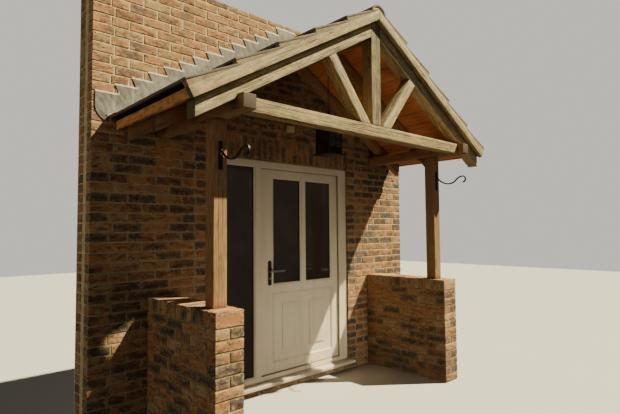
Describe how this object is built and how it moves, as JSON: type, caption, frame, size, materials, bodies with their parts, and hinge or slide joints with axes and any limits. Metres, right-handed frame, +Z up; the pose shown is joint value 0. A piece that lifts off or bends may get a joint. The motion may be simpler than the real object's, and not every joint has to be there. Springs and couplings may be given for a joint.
{
  "type": "entrance porch",
  "caption": "Oak-framed entrance porch with a king post truss and tiled roof on brick dwarf walls, with its part-glazed door set.",
  "frame": {"origin": "on the ground, in the middle of the porch's length and depth", "axes": "+X along the house wall to the right as one faces the door, +Y into the house, +Z up"},
  "size_m": [3.7026, 1.524, 3.59],
  "materials": {
    "brick": "multi-coloured stock bricks with pale mortar",
    "oak": "weathered oak, grey-cream outside and red-brown in the shade",
    "boarding": "red-brown stained boards",
    "tile": "grey-brown weathered concrete",
    "lead": "dull grey weathered lead sheet",
    "door_plastic": "cream satin plastic",
    "sill": "pale weathered plastic",
    "door_glass": "clear double glazing, dark behind",
    "lantern_glass": "clear glass",
    "black_iron": "black painted iron",
    "dark_metal": "dark bronze coated steel",
    "lever_metal": "satin chrome",
    "box_plastic": "beige plastic"
  },
  "bodies": {
    "porch": {"house_wall_left": "brick", "house_wall_right": "brick", "house_wall_over_door": "brick", "sill_bricks": "brick", "dwarf_wall_left": "brick", "dwarf_wall_right": "brick", "coping_left": "brick", "coping_right": "brick", "post_left": "oak", "post_right": "oak", "side_plate_left": "oak", "side_plate_right": "oak", "knee_braces": "oak", "tie_beam": "oak", "king_post": "oak", "struts": "oak", "front_rafter_left": "oak", "front_rafter_right": "oak", "middle_rafters": "oak", "wall_rafters": "oak", "ridge_board": "boarding", "soffit_boards_left": "boarding", "soffit_boards_right": "boarding", "tile_battens": "boarding", "fascias": "boarding", "bargeboard_left": "oak", "bargeboard_right": "oak", "roof_tiles_left": "tile", "roof_tiles_right": "tile", "ridge_tiles": "tile", "flashing_left": "lead", "flashing_right": "lead", "door_frame": "door_plastic", "sidelight_glass": "door_glass", "door_sill": "sill", "frame_hinges": "dark_metal", "lantern": "black_iron", "lantern_glass": "lantern_glass", "wall_box": "box_plastic", "basket_brackets": "black_iron"},
    "door": {"door_leaf": "door_plastic", "leaf_panes": "door_glass", "handle_plates": "dark_metal", "leaf_hinges": "dark_metal"},
    "handle": {"door_levers": "lever_metal"}
  },
  "joints": [
    {"name": "door_hinge", "type": "hinge", "parent": "porch", "child": "door", "pos_m": [0.7755, 0.5655, 1.14], "axis": [0, 0, -1], "range_deg": [0, 90]},
    {"name": "lever_turn", "type": "hinge", "parent": "door", "child": "handle", "pos_m": [-0.182, 0.531, 1.129], "axis": [0, 1, 0], "range_deg": [0, 40]}
  ]
}
